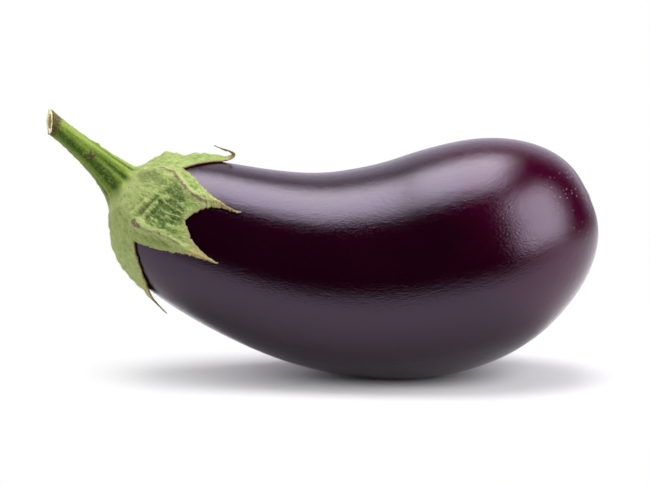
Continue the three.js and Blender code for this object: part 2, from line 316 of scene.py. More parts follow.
VEIN_HEIGHT = 0.00050
FINE_VEIN_HEIGHT = 0.00030
GNAWED_DEPTH = 0.0006
THINNEST = 0.0003
THIN_EDGE_SHARE = 0.45
THINNER_TIP_SHARE = 0.45
STREAK_SQUEEZE = 0.45
CUP_ROWS = 64
SEPAL_ROWS = 110
SEPAL_COLUMNS = 44
EDGE_ROUND = 0.0007
# A place on the calyx is an angle round the fruit, in degrees from the top down the near side, and
# a distance over the skin from the stem end. These are the bottoms of the cuts between the sepals.
NOTCHES = [(-34, 0.031), (28, 0.029), (76, 0.0425), (118, 0.029), (202, 0.033), (266, 0.030)]
# Each sepal's tip and root angles, the height of its midrib, how soon its two edges draw in to
# the tip, how much of it is a thin tendril and how far in degrees that sways, and its middle
# line: distance over the skin, and height of the underside.
SEPALS = [
    dict(tip=-6, root=-12, rib=0.0013, before=1.5, after=1.5, tendril=0.36, sway=0.6,
         reach=[0.030, 0.0346, 0.0392, 0.0436, 0.0476, 0.0512, 0.0530, 0.0508, 0.0462, 0.0418],
         lift=[0.00035, 0.0004, 0.0004, 0.0004, 0.0005, 0.0015, 0.0037, 0.0051, 0.0056, 0.0064]),
    dict(tip=56, root=40, rib=0.0013, before=2.2, after=3.4, tendril=0.0, sway=0.3,
         reach=[0.036, 0.043, 0.050, 0.057, 0.0635],
         lift=[0.00035, 0.00035, 0.00035, 0.00035, 0.0006]),
    dict(tip=94, root=104, rib=0.0012, before=2.1, after=2.4, tendril=0.0, sway=0.3,
         reach=[0.036, 0.043, 0.050, 0.0565, 0.062],
         lift=[0.00035, 0.00035, 0.00035, 0.00035, 0.0005]),
    dict(tip=165, root=165, rib=0.0004, before=1.0, after=1.2, tendril=0.30, sway=1.6,
         reach=[0.031, 0.036, 0.041, 0.045, 0.049, 0.0528],
         lift=[0.00035, 0.00035, 0.0006, 0.0015, 0.0026, 0.0036]),
    dict(tip=236, root=234, rib=0.0009, before=2, after=2.2, tendril=0.0, sway=0.5,
         reach=[0.031, 0.038, 0.045, 0.052, 0.057],
         lift=[0.00035, 0.00035, 0.0004, 0.0011, 0.0028]),
    dict(tip=298, root=296, rib=0.0011, before=2.2, after=2, tendril=0.0, sway=0.5,
         reach=[0.031, 0.039, 0.047, 0.054, 0.060],
         lift=[0.00035, 0.00035, 0.00035, 0.00035, 0.0005]),
]
# Fleshy shoulders, and a dip behind the upper one: angle, distance, height, spread in degrees and
# length.
SHOULDERS = [
    (-11, 0.020, 0.0021, 24, 0.005),
    (40, 0.020, 0.0018, 11, 0.007),
    (96, 0.017, 0.0008, 22, 0.005),
    (262, 0.018, 0.0012, 26, 0.006),
    (-12, 0.0275, -0.0011, 16, 0.003),
]
# Creased ridges: their line as (distance, angle) points, height, width, and how brown the crest
# has worn. The last two are on the far side.
RIDGES = [
    ([(0.0145, 38), (0.0215, 38), (0.0275, 40), (0.035, 51), (0.0405, 56), (0.048, 57), (0.056, 56)],
     0.0010, 0.0019, 0.9),
    ([(0.0275, 99), (0.031, 100), (0.035, 95), (0.042, 93), (0.052, 93)], 0.0008, 0.0017, 0.7),
    ([(0.0235, 101), (0.0265, 103), (0.030, 99)], 0.0011, 0.0026, 1.0),
    ([(0.0245, 66), (0.0235, 80), (0.0225, 92), (0.0225, 102)], 0.0006, 0.0011, 0.35),
    ([(0.0285, 70), (0.0275, 82), (0.0268, 94)], 0.0007, 0.0010, 0.2),
    ([(0.021, 212), (0.027, 222), (0.035, 232), (0.046, 236)], 0.0009, 0.0020, 0.6),
    ([(0.018, 290), (0.026, 285), (0.036, 294), (0.050, 298)], 0.0009, 0.0020, 0.7),
]
# Sunk creases: line, depth and width.
CREASES = [
    ([(0.0262, 66), (0.0252, 80), (0.0246, 94), (0.0250, 103)], 0.0010, 0.0009),
    ([(0.0305, 68), (0.0295, 80), (0.0287, 92)], 0.0008, 0.0010),
    ([(0.029, 47), (0.033, 60), (0.038, 66)], 0.0007, 0.0022),
    ([(0.0215, 72), (0.0208, 88), (0.0212, 104)], 0.0005, 0.0010),
    ([(0.026, 206), (0.028, 222), (0.027, 240)], 0.0007, 0.0014),
    ([(0.024, 276), (0.026, 292), (0.025, 306)], 0.0007, 0.0014),
]
# Fields of raised veins: spread in degrees, angle, distance and length.
WRINKLED = [(26, 75, 0.0325, 0.0095), (32, 246, 0.033, 0.010), (32, 290, 0.034, 0.010)]
LEAF_LIGHT = (0.32, 0.365, 0.135, 1)
LEAF_MIDDLE = (0.25, 0.32, 0.085, 1)
LEAF_DARK = (0.075, 0.13, 0.018, 1)
LEAF_WORN = (0.13, 0.085, 0.045, 1)
LEAF_RIM = (0.33, 0.25, 0.12, 1)
LEAF_SCORCH = (0.075, 0.035, 0.014, 1)
LEAF_TIP = (0.33, 0.23, 0.075, 1)
LEAF_DOWN = (0.48, 0.56, 0.27, 1)

skin_steps = np.linspace(0, 1, 601)
near_side = fruit_point(skin_steps, np.pi / 2)
skin_strides = np.linalg.norm(np.diff(near_side, axis=0), axis=-1)
skin_distance = np.concatenate([[0], np.cumsum(skin_strides)])
stem_end = fruit_point(0.0, 0.0)
stem_way = fruit_normal(0.0, 0.0)


def over_skin(distance, angle, height):
    """The fruit's skin at a distance from the stem end, measured down the near side, and at an
    angle in degrees, raised by a height along the skin's normal."""
    on = np.interp(distance, skin_distance, skin_steps)
    turned = np.radians(angle)
    return fruit_point(on, turned) + fruit_normal(on, turned) * np.asarray(height)[..., None]


def mix(first, second, share):
    """first at share 0, second at share 1."""
    return first + (second - first) * share


def turn_from(angle, middle):
    """How far an angle is from a middle one, in degrees from -180 to 180."""
    return np.mod(angle - middle + 180, 360) - 180


def bell(away, width):
    """exp(-(away / width)^2), which is 1 at no distance."""
    return np.exp(-((away / width) ** 2))


def waves(places, size, seed, count=28):
    """A smooth random field with a spread of 1: the sum of plane sine waves of about one size,
    whose ways and starts are drawn once from a seed."""
    draw = np.random.default_rng(seed)
    ways = draw.normal(size=(places.shape[-1], count))
    ways *= draw.uniform(0.6, 1.5, count) / np.linalg.norm(ways, axis=0)
    starts = draw.uniform(0, 2 * np.pi, count)
    return np.sin(places @ (ways * 2 * np.pi / size) + starts).sum(axis=-1) * np.sqrt(2 / count)


def flat_chart(distance, angle):
    """The calyx laid out flat: distance from the stem end as the radius of a plane circle."""
    turned = np.radians(angle)
    return np.stack(np.broadcast_arrays(distance * np.cos(turned), distance * np.sin(turned)), axis=-1)


def away_from_line(places, line):
    """Distance from flat places to a line of (distance, angle) points, with the share of the
    line's length at which each place comes nearest."""
    corners = flat_chart(*np.array(line, float).T)
    nearest = np.full(places.shape[:-1], np.inf)
    share = np.zeros(places.shape[:-1])
    for number, (start, end) in enumerate(zip(corners[:-1], corners[1:])):
        run = end - start
        t = np.clip(((places - start) @ run) / (run @ run), 0, 1)
        away = np.linalg.norm(places - start - t[..., None] * run, axis=-1)
        share = np.where(away < nearest, (number + t) / (len(corners) - 1), share)
        nearest = np.minimum(away, nearest)
    return nearest, share


leaf_of = {key: np.array([leaf[key] for leaf in SEPALS], float)[:, None, None]
           for key in ("tip", "root", "rib", "before", "after", "tendril", "sway")}
from_angle, from_reach = (np.array(side, float)[:, None, None] for side in zip(*NOTCHES))
to_angle = np.roll(from_angle, -1, axis=0) + 360 * (np.arange(6) == 5)[:, None, None]
to_reach = np.roll(from_reach, -1, axis=0)
share = (1 - np.cos(np.pi * np.linspace(0, 1, SEPAL_COLUMNS + 1)))[None, None, :] / 2

# The cup's rows run from the stem end to the cuts between the sepals, and the sepals' rows from
# there to the tips.
ring = np.linspace(0, 1, CUP_ROWS + 1)[None, :-1, None]
cup_angle = mix(from_angle, to_angle, share) + 0 * ring
cup_distance = mix(from_reach, to_reach, share) * ring
out = np.linspace(0, 1, SEPAL_ROWS + 1)[None, :, None] ** 0.9
reach_at = [smooth_through(leaf["reach"]) for leaf in SEPALS]
lift_at = [smooth_through(leaf["lift"]) for leaf in SEPALS]
reach = np.stack([at(out[0]) for at in reach_at])
lift = np.maximum(np.stack([at(out[0]) for at in lift_at]), GAP)
outwards = np.stack([at(out[0] + SMALL) - at(out[0] - SMALL) for at in reach_at])
upwards = np.stack([at(out[0] + SMALL) - at(out[0] - SMALL) for at in lift_at])
slope = np.hypot(outwards, upwards)
reach_start = np.array([leaf["reach"][0] for leaf in SEPALS])[:, None, None]
body = 1 - np.minimum(out / (1 - leaf_of["tendril"]), 1)
swayed = leaf_of["tip"] + leaf_of["sway"] * np.sin(9.5 * out) * smoothstep((out - 0.45) / 0.35)
first_edge = mix(swayed - TIP_HALF_ANGLE, from_angle, body ** leaf_of["before"])
second_edge = mix(swayed + TIP_HALF_ANGLE, to_angle, body ** leaf_of["after"])
leaf_number = np.arange(6)[:, None, None] * 1.0
gnaw = smoothstep(out / 0.12) * smoothstep((1 - out) / 0.05) / np.radians(reach) * GNAWED_DEPTH
row_place = np.concatenate([out * 0.03 + 0 * leaf_number, leaf_number + 0 * out], axis=2)


def nibbles(seed):
    """The uneven line of a sepal's edge, in degrees: two sizes of waves along it."""
    coarse = 0.4 * waves(row_place, 0.0030, seed)
    return gnaw * (coarse + 0.35 * waves(row_place, 0.0013, seed + 2))[..., None]


first_edge = first_edge + nibbles(3)
second_edge = second_edge + nibbles(4)
sepal_angle = mix(first_edge, second_edge, share)
sepal_distance = reach + (mix(from_reach, to_reach, share) - reach_start) * (1 - out) ** 2

angle = np.concatenate([cup_angle, sepal_angle], axis=1)
distance = np.concatenate([cup_distance, sepal_distance], axis=1)
sepal_out = np.concatenate([0 * cup_angle[..., :1], out + 0 * leaf_number], axis=1)
on_sepal = np.concatenate([0 * cup_angle[..., :1], 1 + 0 * out + 0 * leaf_number], axis=1)
underside = np.concatenate([0 * cup_angle[..., :1] + GAP, lift], axis=1)
lean = np.concatenate([0 * cup_angle[..., :1], upwards / slope], axis=1)
stand = np.concatenate([1 + 0 * cup_angle[..., :1], outwards / slope], axis=1)
half_width = np.radians(second_edge - first_edge) / 2 * RADIUS_AT_SEPALS
half_width = np.concatenate([1 + 0 * cup_angle[..., :1], half_width], axis=1)
edge_away = np.where(on_sepal > 0, half_width * (1 - np.abs(2 * share - 1)), 1)


def collar_swell(distance, angle):
    """How much thicker the cup is than a sepal: the collar, which thins outwards as a smooth
    step and is thinner below, and a bell of its own for each shoulder."""
    collar = 1 - smoothstep((distance - CROWN_EDGE) / (COLLAR_END - CROWN_EDGE))
    collar = collar * (1 - THINNER_BELOW * bell(turn_from(angle, 160), 60))
    swell = (COLLAR_THICKNESS - SEPAL_THICKNESS) * collar
    for middle, reached, height, spread, length in SHOULDERS:
        swell = swell + height * bell(turn_from(angle, middle), spread) * bell(distance - reached, length)
    return swell


# The collar thins outwards to the sepals' thickness, with shoulders, midribs, ridges and creases.
beyond_collar = smoothstep((distance - CROWN_EDGE) / (COLLAR_END - CROWN_EDGE))
swell = collar_swell(distance, angle)
middle = mix(leaf_of["root"], leaf_of["tip"], smoothstep((distance - CROWN_EDGE) / RIB_TURN_LENGTH))
root_rib = leaf_of["rib"] * bell(angle - middle, RIB_ROOT_SPREAD) * beyond_collar
bare_tip = np.clip((1 - sepal_out) / BARE_TIP_SHARE, 0, 1)
crest = (1 - np.abs(2 * share - 1)) ** CREST_SHARPNESS * bare_tip
on_leaf = smoothstep(sepal_out / CUP_FADE_SHARE)
thickness = SEPAL_THICKNESS + mix(swell + root_rib, leaf_of["rib"] * crest, on_leaf)
chart = flat_chart(distance, angle)
relief = np.zeros_like(distance)
worn = np.zeros_like(distance)
for line, height, width, brown in RIDGES:
    away, share_along = away_from_line(chart, line)
    fade = np.minimum(1, 4 * np.minimum(share_along, 1 - share_along) + 0.3)
    form = bell(away, width) * fade
    relief = relief + height * form
    worn = np.maximum(worn, brown * form**2)
for line, depth, width in CREASES:
    away, share_along = away_from_line(chart, line)
    fade = np.minimum(1, 4 * np.minimum(share_along, 1 - share_along) + 0.2)
    relief = relief - depth * bell(away, width) * fade
wrinkled = sum(bell(turn_from(angle, at), spread) * bell(distance - reached, length)
               for spread, at, reached, length in WRINKLED)
turned = np.radians(angle)
round_cup = CUP_RADIUS * np.cos(turned), CUP_RADIUS * np.sin(turned)
streaked = np.stack([distance * STREAK_SQUEEZE, *round_cup], axis=-1)
veins = 1 - np.abs(waves(streaked, 0.0050, 11))
fine_veins = 1 - np.abs(waves(streaked, 0.0026, 12))
relief = relief + wrinkled * (VEIN_HEIGHT * veins + FINE_VEIN_HEIGHT * fine_veins)
uneven = 0.00016 * waves(chart, 0.006, 14) + 0.00009 * waves(chart, 0.0025, 15)
uneven = uneven + 0.00006 * waves(streaked, 0.0016, 13)
relief = relief + uneven * smoothstep((distance - 0.008) / 0.006)
collar_ribs = COLLAR_RIB_HEIGHT * np.cos(COLLAR_RIBS * turned)
collar_ribs = collar_ribs * bell(distance - COLLAR_RIBS_AT, COLLAR_RIBS_LENGTH)
inner = smoothstep(edge_away / 0.004)
tip_calm = smoothstep((1 - sepal_out) / 0.3)
thickness = thickness + relief * inner * tip_calm + collar_ribs
thickness = np.maximum(thickness * (1 - THINNER_TIP_SHARE * sepal_out**3), THINNEST)
rounded = np.sqrt(np.clip(1 - (1 - np.clip(edge_away / EDGE_ROUND, 0, 1)) ** 2, 0, 1))
thickness = thickness * mix(THIN_EDGE_SHARE, 1, rounded)

# The crown is flat and square to the stem, and the rest stands off the skin.
skin_place = over_skin(distance, angle, 0 * distance)
facing = fruit_normal(np.interp(distance, skin_distance, skin_steps), np.radians(angle)) @ stem_way
crown = (CROWN_HEIGHT - (skin_place - stem_end) @ stem_way) / np.maximum(facing, 0.3) - underside
on_crown = 1 - smoothstep((distance - CROWN_FLAT) / CROWN_BLEND)
thickness = mix(thickness, crown, on_crown)
top = over_skin(distance - thickness * lean, angle, underside + thickness * stand)
bottom = over_skin(distance, angle, underside + 0 * distance)
shared = CUP_ROWS + 1
top[:, :shared, -1] = np.roll(top[:, :shared, 0], -1, axis=0)
bottom[:, :shared, -1] = np.roll(bottom[:, :shared, 0], -1, axis=0)

size = distance.size
top_number = np.arange(size).reshape(distance.shape)
bottom_number = top_number + size
calyx_quads = [grid_quads(sheet[leaf]) for leaf in range(6) for sheet in (top_number, bottom_number)]
for column in (0, -1):
    walls = np.stack([top_number[:, CUP_ROWS:, column], bottom_number[:, CUP_ROWS:, column]], axis=-1)
    calyx_quads += [grid_quads(wall) for wall in walls]
tips = np.stack([top_number[:, -1], bottom_number[:, -1]], axis=-1)
calyx_quads += [grid_quads(tip) for tip in tips]

# Painted shade: this mask darkens the green in creases and other low places of the relief, more in the
# wrinkled fields, in the pit at the notch at 76 degrees and over the upper sepal, and less on worn
# crests.
painted_shade = smoothstep(0.5 - (relief - 0.35 * wrinkled * 0.0006) / 0.0012) * np.clip(0.25 + wrinkled, 0, 1)
valley = bell(angle - 76, 24) * bell(distance - 0.0345, 0.009)
upper = bell(angle + 5, 30) * bell(distance - 0.040, 0.014)
painted_shade = np.clip(painted_shade + 0.35 * valley + 0.4 * upper - 0.8 * worn, 0, 1)


def both(values):
    """A mask's values for the top sheet, then for the underside."""
    return np.concatenate([(values + 0 * distance).ravel()] * 2)


calyx_points = np.concatenate([top.reshape(-1, 3), bottom.reshape(-1, 3)])
calyx_mesh = new_mesh("calyx_leaf", calyx_points, np.concatenate(calyx_quads), {
    "grain": np.concatenate([streaked.reshape(-1, 3)] * 2),
    "painted_shade": both(painted_shade),
    "worn": both(worn),
    "edge": both(np.exp(-edge_away / 0.0008)),
    "tip": both(sepal_out),
    "hairy": np.concatenate([np.ones(size), np.zeros(size)]),
})

leaf, tree, shader = new_material("calyx_felt")
grain = grain_of(tree)
down = noise(tree, grain, 1500.0, 4.0, 0.75)
mottle = noise(tree, grain, 520.0, 5.0, 0.72)
patches = noise(tree, grain, 110.0, 3.0)
# Painted shade and random tone: the shade mask, with mottle and patches, turns the light green to the
# middle and dark greens.
darkness = part_and(tree, mottle, 1.3, part_and(tree, patches, 0.5, mask_of(tree, "painted_shade")))
colour = blend_colour(tree, ramp_up(tree, darkness, 0.75, 1.2), LEAF_LIGHT, LEAF_MIDDLE)
colour = blend_colour(tree, ramp_up(tree, darkness, 1.15, 1.85), colour, LEAF_DARK)
worn_tone = ramp_up(tree, part_and(tree, mottle, 1.6, mask_of(tree, "worn")), 1.15, 1.7)
worn_here = product(tree, worn_tone, ramp_up(tree, patches, 0.30, 0.46))
colour = blend_colour(tree, worn_here, colour, LEAF_WORN)
tip_tone = part_and(tree, patches, 0.4, mask_of(tree, "tip"))
colour = blend_colour(tree, ramp_up(tree, tip_tone, 0.55, 0.90), colour, LEAF_TIP)
rim_tone = part_and(tree, mottle, 0.8, mask_of(tree, "edge"))
colour = blend_colour(tree, ramp_up(tree, rim_tone, 0.75, 1.15), colour, LEAF_RIM)
colour = blend_colour(tree, ramp_up(tree, rim_tone, 1.35, 1.6), colour, LEAF_SCORCH)
colour = blend_colour(tree, fleck_mask(tree, grain, 620.0, 0.22, 0.3), colour, LEAF_DARK)
pale = product(tree, ramp_up(tree, down, 0.50, 0.64), 0.55)
colour = blend_colour(tree, pale, colour, LEAF_DOWN)
tree.links.new(colour, shader.inputs["Base Color"])
shader.inputs["Roughness"].default_value = 0.75
shader.inputs["Specular IOR Level"].default_value = 0.25
height = part_and(tree, mottle, 1.6, down)
tree.links.new(bumpy(tree, height, 0.0006, 0.8), shader.inputs["Normal"])
new_piece(calyx_mesh, leaf, "calyx_green", "calyx")

# Stem: a tough green stalk with long ribs, which flares into the calyx. It was cut off at a
# slant, so that the end shows a dry woody ring round the pith, and it has an old scar on its side.
STEM_X = [-0.1216, -0.129, -0.137, -0.1432]
STEM_Y = [-0.001, -0.0022, -0.0036, -0.0048]
STEM_Z = [0.0868, 0.0937, 0.1008, 0.1062]
STEM_RADIUS = [0.0088, 0.0063, 0.005, 0.0042, 0.0043]
STEM_RIBS = 8
STEM_RIB_HEIGHT = 0.0008
STEM_STEPS_ALONG = 200
STEM_STEPS_AROUND = 160
CUT_STEPS = 26
FOOT_HEIGHT = 0.00265
FOOT_REACH = 0.0128
FOOT_START = 0.07
FOOT_SUNK = 0.00012
FOOT_STEPS = 34
FOOT_CURVE = 0.0056
RIB_FADE_POWER = 2.2
CUT_LEAN_START = 0.55
STALK_LENGTH = 0.038
STALK_RADIUS = 0.006
LUMP_STRETCH = 0.048
SCAR_DEPTH = 0.0004
SCAR_ALONG = 0.45
SCAR_AROUND = 1.57
KNOB_HEIGHT = 0.0005
KNOB_ALONG = 0.455
KNOB_AROUND = 0.05
LEAN_UNDERSIDE = 0.0008
RAGGED_CUT = 0.00022
PITH_DEPTH = 0.0006
CUT_RING_RISE = 0.0003
CUT_FACE = np.array([-0.92, -0.36, 0.1]) / np.linalg.norm([-0.92, -0.36, 0.1])
STEM_LIGHT = (0.23, 0.30, 0.060, 1)
STEM_GREEN = (0.115, 0.18, 0.012, 1)
STEM_DARK = (0.032, 0.070, 0.001, 1)
STEM_BARK = (0.075, 0.042, 0.014, 1)
CUT_WOOD = (0.82, 0.71, 0.43, 1)
CUT_PITH = (0.26, 0.24, 0.08, 1)

foot = stem_end + stem_way * FOOT_HEIGHT
line_x, line_y, line_z = (smooth_through([start, *rest]) for start, rest in
                          zip(foot, (STEM_X, STEM_Y, STEM_Z)))
radius_at = smooth_through(STEM_RADIUS)


def stem_line(t):
    """The stem's centre line."""
    return np.stack([line_x(t), line_y(t), line_z(t)], axis=-1)


def stem_rib(around):
    """Rounded ribs with narrow grooves between them, 8 to a turn, and uneven in height."""
    wave = 0.5 + 0.5 * np.cos(STEM_RIBS * around + 0.5 * np.sin(around) + 0.3 * np.cos(3 * around))
    return (2 * wave**0.7 - 1) * (0.85 + 0.25 * np.sin(2 * around + 1))


def stem_point(t, around, inward, sunk):
    """Rings square to the centre line. Each radius is the stem's own plus ribs that fade to the
    cut, and the last rings lean over into the face of the cut. inward runs from 0 on the bark to
    1 on the centre line, and sunk is a depth under the cut face."""
    forward = stem_line(t + SMALL) - stem_line(t - SMALL)
    forward = forward / np.linalg.norm(forward, axis=-1, keepdims=True)
    upward = np.array([0, 0, 1.0]) - forward[..., 2:] * forward
    upward = upward / np.linalg.norm(upward, axis=-1, keepdims=True)
    sideways = np.cross(upward, forward)
    left = np.clip(1 - t, 0, 1)
    rib = STEM_RIB_HEIGHT * stem_rib(around) * left**RIB_FADE_POWER
    lean = LEAN_UNDERSIDE * left**2 * np.clip(-np.cos(around - 0.3), 0, 1)
    places = [LUMP_STRETCH * t, np.cos(around) * STALK_RADIUS, np.sin(around) * STALK_RADIUS]
    places = np.stack(np.broadcast_arrays(*places), axis=-1)
    lump = 0.00005 * waves(places, 0.0045, 21) + 0.00003 * waves(places, 0.0015, 22)
    scar = SCAR_DEPTH * bell(t - SCAR_ALONG, 0.03) * bell(around - SCAR_AROUND, 0.4)
    knob = KNOB_HEIGHT * bell(t - KNOB_ALONG, 0.025) * bell(around - KNOB_AROUND, 0.16)
    ragged = RAGGED_CUT * waves(places, 0.0028, 24) * smoothstep((t - 0.94) / 0.06)
    radius = (radius_at(t) + rib + lump - lean - scar + knob + ragged) * (1 - inward)
    across = (radius * np.cos(around))[..., None], (radius * np.sin(around))[..., None]
    spoke = upward * across[0] + sideways * across[1]
    slant = -(spoke @ CUT_FACE) / (forward @ CUT_FACE)
    shift = slant * np.clip((t - CUT_LEAN_START) / (1 - CUT_LEAN_START), 0, 1) - sunk
    return stem_line(t) + spoke + forward * shift[..., None]


# The foot spreads in a hollow curve from the stalk onto the collar, and its edge lies just under
# the collar's surface.
around = np.linspace(0, 2 * np.pi, STEM_STEPS_AROUND + 1)[None, :]
degrees = np.degrees(around)


def on_collar(reach):
    """A ring just under the collar's surface, at a distance over the skin from the stem end."""
    height = GAP + SEPAL_THICKNESS + collar_swell(reach, degrees) - FOOT_SUNK
    return over_skin(reach + 0 * degrees, degrees, height)


def one_long(steps):
    """Steps from point to point, made one long."""
    return steps / np.linalg.norm(steps, axis=-1, keepdims=True)


collar_edge = on_collar(FOOT_REACH)
up_collar = one_long(on_collar(FOOT_REACH - 0.0005) - collar_edge)
ankle = stem_point(FOOT_START + 0 * around, around, 0.0, 0.0)
up_stalk = one_long(stem_point(FOOT_START + 0.01 + 0 * around, around, 0.0, 0.0) - ankle)
rise = np.linspace(0, 1, FOOT_STEPS + 1)[:-1, None, None]
hollow_curve = rise * (1 - rise) ** 2 * up_collar - rise**2 * (1 - rise) * up_stalk
foot_points = mix(collar_edge, ankle, smoothstep(rise)) + FOOT_CURVE * hollow_curve
under_foot = collar_edge - fruit_normal(0.1, around) * 0.0006
bark_rows = np.linspace(FOOT_START, 1, STEM_STEPS_ALONG)[:, None]
bark_points = stem_point(bark_rows + 0 * around, around + 0 * bark_rows, 0.0, 0.0)
inward = np.linspace(0, 1, CUT_STEPS + 1)[1:, None]
flat = np.stack([inward * 0.004 * np.cos(around), inward * 0.004 * np.sin(around)], axis=-1)
dish = PITH_DEPTH * smoothstep((inward - 0.28) / 0.2) - CUT_RING_RISE * smoothstep(inward / 0.12)
dish = dish + 0.00016 * waves(flat, 0.0016, 23)
cut_points = stem_point(np.ones_like(dish), around + 0 * inward, inward, dish * (1 - inward**4))
middle_under = (stem_end + stem_way * 0.0005)[None, None, :] + 0 * under_foot
stem_points = np.concatenate([middle_under, under_foot, foot_points, bark_points, cut_points])
stem_numbers = np.arange(stem_points[..., 0].size).reshape(stem_points.shape[:2])
foot_rows = FOOT_START - 0.22 * (1 - rise[:, 0])
t_rows = np.concatenate([foot_rows[:1], foot_rows[:1], foot_rows, bark_rows, np.ones((CUT_STEPS, 1))])
in_rows = np.concatenate([np.zeros((2 + FOOT_STEPS + STEM_STEPS_ALONG, 1)), inward])
turn = np.concatenate([np.cos(around), np.sin(around)]) * STALK_RADIUS
along_stalk = t_rows * STALK_LENGTH - in_rows * STALK_RADIUS
stem_grain = np.stack(np.broadcast_arrays(along_stalk, turn[:1], turn[1:]), axis=-1)
# Painted shade: this mask darkens the green in the grooves between the ribs, fading towards the cut, and
# in a band down the front side of the stalk.
painted_stem_shade = smoothstep(0.35 - stem_rib(around)) * smoothstep((t_rows + 0.12) / 0.1)
painted_stem_shade = painted_stem_shade * np.clip(1 - t_rows, 0, 1) ** 2
front = bell(around - 1.80, 0.62) * smoothstep((t_rows + 0.05) / 0.2)
painted_stem_shade = np.clip(painted_stem_shade + 0.85 * front, 0, 1)
# The scar is two strokes that meet in a V.
splay = 0.045 * (around - SCAR_AROUND - 0.3)
scar = sum(bell(t_rows - SCAR_ALONG + side * splay, 0.018) for side in (-1, 1))
scar = scar * np.exp(-(((around - SCAR_AROUND) / 0.5) ** 4))
knob = bell(t_rows - KNOB_ALONG, 0.02) * bell(around - KNOB_AROUND, 0.12)
all_round = np.ones_like(stem_points[..., 0])
stem_mesh = new_mesh("stem_stalk", stem_points, grid_quads(stem_numbers), {
    "grain": stem_grain,
    "painted_stem_shade": painted_stem_shade * all_round,
    "scar": np.maximum(scar, 0.8 * knob) * all_round,
    "cut": smoothstep(in_rows / 0.04) * all_round,
    "pith": smoothstep((in_rows - 0.36) / 0.12) * all_round,
    "end": smoothstep((t_rows - 0.80 + 0.04 * np.cos(around + 0.6)) / 0.13) * all_round,
    "foot": (1 - smoothstep((t_rows + 0.15) / 0.25)) * all_round,
    "hairy": (in_rows == 0) * (np.arange(len(in_rows))[:, None] > 2) * all_round,
})

stalk, tree, shader = new_material("stem_bark")
grain = grain_of(tree)
stretched = stretch(tree, grain, (0.2, 1, 1))
fibres = noise(tree, stretched, 1400.0, 3.0, 0.6)
mottle = noise(tree, grain, 600.0, 4.0, 0.7)
sides = noise(tree, stretched, 330.0, 2.0)
# Painted shade and random streaks: the shade mask, with stretched noise, turns the light green to middle
# and dark green.
tone = part_and(tree, sides, 0.9, mask_of(tree, "painted_stem_shade"))
colour = blend_colour(tree, ramp_up(tree, tone, 0.3, 0.75), STEM_LIGHT, STEM_GREEN)
colour = blend_colour(tree, ramp_up(tree, tone, 0.8, 1.4), colour, STEM_DARK)
colour = blend_colour(tree, product(tree, ramp_up(tree, mottle, 0.5, 0.75), 0.5), colour, STEM_LIGHT)
colour = blend_colour(tree, fleck_mask(tree, grain, 620.0, 0.22, 0.35), colour, STEM_DARK)
scar_tone = part_and(tree, mottle, 0.6, mask_of(tree, "scar"))
colour = blend_colour(tree, ramp_up(tree, scar_tone, 0.7, 1.0), colour, STEM_BARK)
end_tone = ramp_up(tree, part_and(tree, mottle, 1.5, mask_of(tree, "end")), 1.05, 1.75)
colour = blend_colour(tree, product(tree, end_tone, 0.85), colour, STEM_BARK)
colour = blend_colour(tree, mask_of(tree, "foot"), colour, LEAF_LIGHT)
cut_colour = blend_colour(tree, mask_of(tree, "pith"), CUT_WOOD, CUT_PITH)
cut_stain = product(tree, ramp_up(tree, mottle, 0.45, 0.7), 0.6)
cut_colour = blend_colour(tree, cut_stain, cut_colour, STEM_BARK)
colour = blend_colour(tree, mask_of(tree, "cut"), colour, cut_colour)
tree.links.new(colour, shader.inputs["Base Color"])
shader.inputs["Roughness"].default_value = 0.6
shader.inputs["Specular IOR Level"].default_value = 0.2
height = part_and(tree, mottle, 0.7, fibres)
tree.links.new(bumpy(tree, height, 0.0003, 0.5), shader.inputs["Normal"])
new_piece(stem_mesh, stalk, "stem_green", "stem")

# Down: short pale hairs that cover the calyx and, more thinly, the stem. Each is a slim spike
# of three sides, rooted a little under the surface.
CALYX_HAIRS = 15000
STEM_HAIRS = 3500
CALYX_HAIR_LENGTH = 0.0007
STEM_HAIR_LENGTH = 0.0006
HAIR_WIDTH = 0.00005
ROOT_DEPTH = 0.0001
HAIR_TOUSLE = 0.55
HAIR_COLOUR = (0.52, 0.56, 0.29, 1)
HAIR_DARKER = (0.40, 0.46, 0.22, 1)


